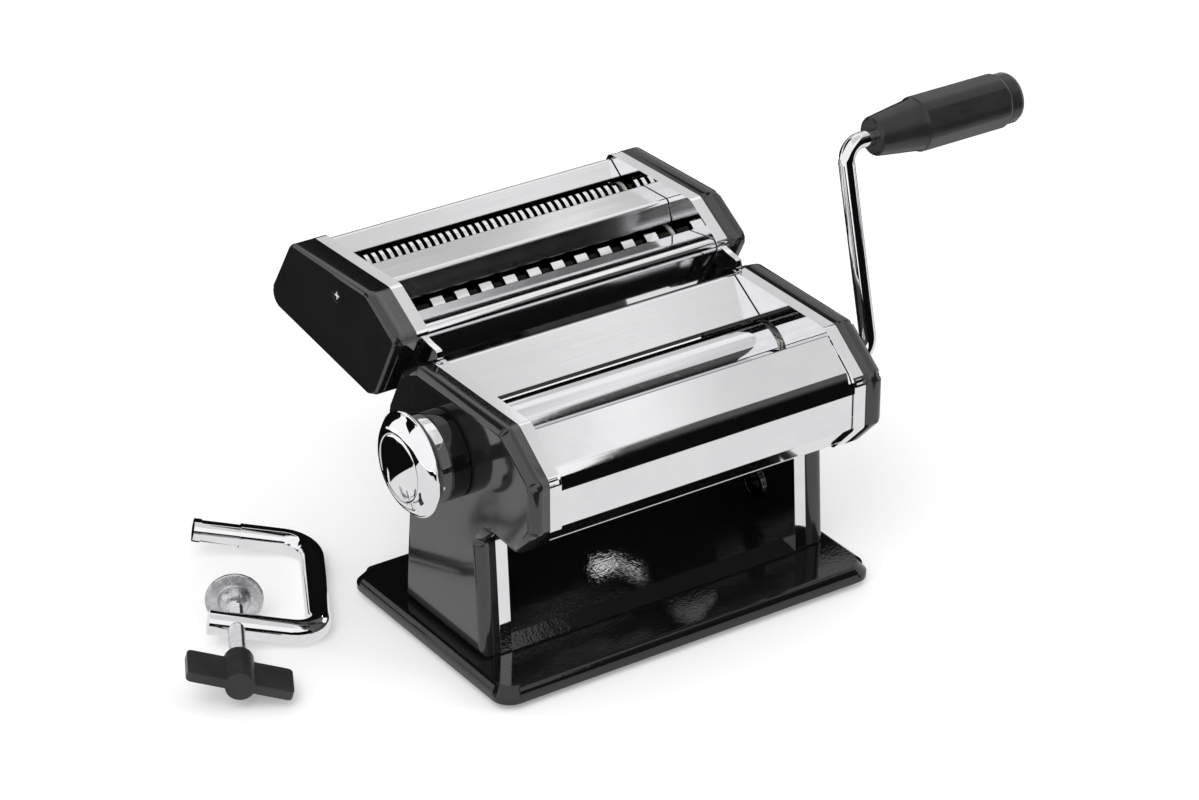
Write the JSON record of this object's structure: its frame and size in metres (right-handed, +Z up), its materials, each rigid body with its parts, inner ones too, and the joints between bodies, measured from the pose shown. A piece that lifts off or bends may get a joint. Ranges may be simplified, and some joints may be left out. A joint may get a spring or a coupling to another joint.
{
  "type": "hand cranked pasta machine",
  "caption": "Hand-cranked kitchen machine that rolls dough into sheets between two steel rollers and cuts strips in a clip-on cutter head, with a loose table clamp.",
  "frame": {"origin": "on the table, under the middle of the base", "axes": "+X along the rollers from the adjusting knob to the crank, -Y to the front, +Z up"},
  "size_m": [0.4263, 0.2128, 0.2127],
  "materials": {
    "base_enamel": "glossy enamel",
    "feet_rubber": "matt",
    "fastener_steel": "zinc plated",
    "plate_chrome": "polished",
    "cover_plastic": "satin, fine grain",
    "sheet_steel": "polished",
    "roller_steel": "fine turned",
    "gear_steel": "dull",
    "bush_plastic": "plain",
    "blade_plastic": "plain",
    "boss_plastic": "satin",
    "collar_plastic": "gloss",
    "knob_chrome": "polished",
    "crank_chrome": "polished",
    "grip_plastic": "matt",
    "clamp_chrome": "polished",
    "pad_zinc": "grained zinc",
    "wing_plastic": "matt",
    "cutter_steel": "turned"
  },
  "bodies": {
    "chassis": {"base_plate": "base_enamel", "rubber_feet": "feet_rubber", "leg_screws": "fastener_steel", "left_side_plate": "plate_chrome", "right_side_plate": "plate_chrome", "left_cover": "cover_plastic", "right_cover": "cover_plastic", "front_cover_sheet": "sheet_steel", "rear_hopper_sheet": "sheet_steel", "tie_rods": "fastener_steel", "tie_rod_nuts": "fastener_steel", "front_roller_bushes": "bush_plastic", "front_scraper": "blade_plastic", "regulator_boss": "boss_plastic", "clamp_sleeve": "plate_chrome"},
    "gap_carriage": {"roller_carriers": "bush_plastic", "rear_scraper": "blade_plastic"},
    "front_roller": {"front_roller": "roller_steel", "front_roller_gear": "gear_steel"},
    "rear_roller": {"rear_roller": "roller_steel", "rear_roller_gear": "gear_steel"},
    "spindle": {"regulator_spindle": "fastener_steel"},
    "knob": {"knob_collar": "collar_plastic", "knob_cap": "knob_chrome"},
    "crank": {"crank_rod": "crank_chrome"},
    "grip": {"crank_grip": "grip_plastic", "grip_end_cap": "grip_plastic"},
    "cutter_head": {"cutter_left_plate": "plate_chrome", "cutter_right_plate": "plate_chrome", "cutter_left_cover": "cover_plastic", "cutter_right_cover": "cover_plastic", "cutter_cover_screws": "fastener_steel", "cutter_rear_sheet": "sheet_steel", "cutter_ridge_sheet": "sheet_steel", "cutter_front_sheet": "sheet_steel", "cutter_tie_rods": "fastener_steel", "cutter_bushes": "bush_plastic", "spaghetti_combs": "blade_plastic", "fettuccine_combs": "blade_plastic"},
    "spaghetti_drive": {"spaghetti_drive_roller": "cutter_steel", "spaghetti_drive_gear": "gear_steel"},
    "spaghetti_idler": {"spaghetti_idler_roller": "cutter_steel", "spaghetti_idler_gear": "gear_steel"},
    "fettuccine_drive": {"fettuccine_drive_roller": "cutter_steel", "fettuccine_drive_gear": "gear_steel"},
    "fettuccine_idler": {"fettuccine_idler_roller": "cutter_steel", "fettuccine_idler_gear": "gear_steel"},
    "clamp_frame": {"clamp_frame": "clamp_chrome"},
    "clamp_pad": {"clamp_pad": "pad_zinc"},
    "clamp_screw": {"clamp_screw": "clamp_chrome", "wing_handle": "wing_plastic"}
  },
  "joints": [
    {"name": "front_roller_turn", "type": "hinge", "parent": "chassis", "child": "front_roller", "pos_m": [0, -0.0393, 0.104], "axis": [1, 0, 0], "continuous": true},
    {"name": "gap_shift", "type": "slide", "parent": "chassis", "child": "gap_carriage", "axis": [0, 1, 0], "range_m": [-0.00098, 0.00163]},
    {"name": "rear_roller_turn", "type": "hinge", "parent": "gap_carriage", "child": "rear_roller", "pos_m": [0, -0.00972, 0.104], "axis": [1, 0, 0], "continuous": true},
    {"name": "regulator_turn", "type": "hinge", "parent": "chassis", "child": "spindle", "pos_m": [0, -0.00972, 0.104], "axis": [1, 0, 0], "range_deg": [-108, 180]},
    {"name": "knob_pull", "type": "slide", "parent": "spindle", "child": "knob", "axis": [-1, 0, 0], "range_m": [0, 0.004], "stiffness_N_per_m": 600, "springref_m": -0.002},
    {"name": "crank_withdraw", "type": "slide", "parent": "front_roller", "child": "crank", "axis": [1, 0, 0], "range_m": [0, 0.03]},
    {"name": "grip_spin", "type": "hinge", "parent": "crank", "child": "grip", "pos_m": [0.115, -0.01559, 0.19981], "axis": [1, 0, 0], "continuous": true},
    {"name": "cutter_lift", "type": "slide", "parent": "chassis", "child": "cutter_head", "axis": [0, 0, 1], "range_m": [0, 0.06]},
    {"name": "spaghetti_drive_turn", "type": "hinge", "parent": "cutter_head", "child": "spaghetti_drive", "pos_m": [0, 0.1083, 0.1345], "axis": [1, 0, 0], "continuous": true},
    {"name": "spaghetti_idler_turn", "type": "hinge", "parent": "cutter_head", "child": "spaghetti_idler", "pos_m": [0, 0.0897, 0.1345], "axis": [1, 0, 0], "continuous": true},
    {"name": "fettuccine_drive_turn", "type": "hinge", "parent": "cutter_head", "child": "fettuccine_drive", "pos_m": [0, 0.0507, 0.1275], "axis": [1, 0, 0], "continuous": true},
    {"name": "fettuccine_idler_turn", "type": "hinge", "parent": "cutter_head", "child": "fettuccine_idler", "pos_m": [0, 0.0693, 0.1275], "axis": [1, 0, 0], "continuous": true},
    {"name": "clamp_lift", "type": "slide", "parent": "chassis", "child": "clamp_frame", "axis": [0, 0, 1], "range_m": [0, 0.05]},
    {"name": "clamp_pad_advance", "type": "slide", "parent": "clamp_frame", "child": "clamp_pad", "axis": [0.4617, 0.887, 0], "range_m": [-0.01035, 0.0231]},
    {"name": "clamp_screw_turn", "type": "hinge", "parent": "clamp_pad", "child": "clamp_screw", "pos_m": [-0.16, 0.0685, 0.0134], "axis": [0.4617, 0.887, 0], "range_deg": [-2460, 5520]}
  ],
  "couplings": [
    {"joint": "rear_roller_turn", "follows": "front_roller_turn", "ratio": -1},
    {"joint": "gap_shift", "follows": "regulator_turn", "m_per_rad": 0.00051725},
    {"joint": "spaghetti_idler_turn", "follows": "spaghetti_drive_turn", "ratio": -1},
    {"joint": "fettuccine_idler_turn", "follows": "fettuccine_drive_turn", "ratio": -1},
    {"joint": "clamp_pad_advance", "follows": "clamp_screw_turn", "m_per_rad": 0.00023873}
  ]
}
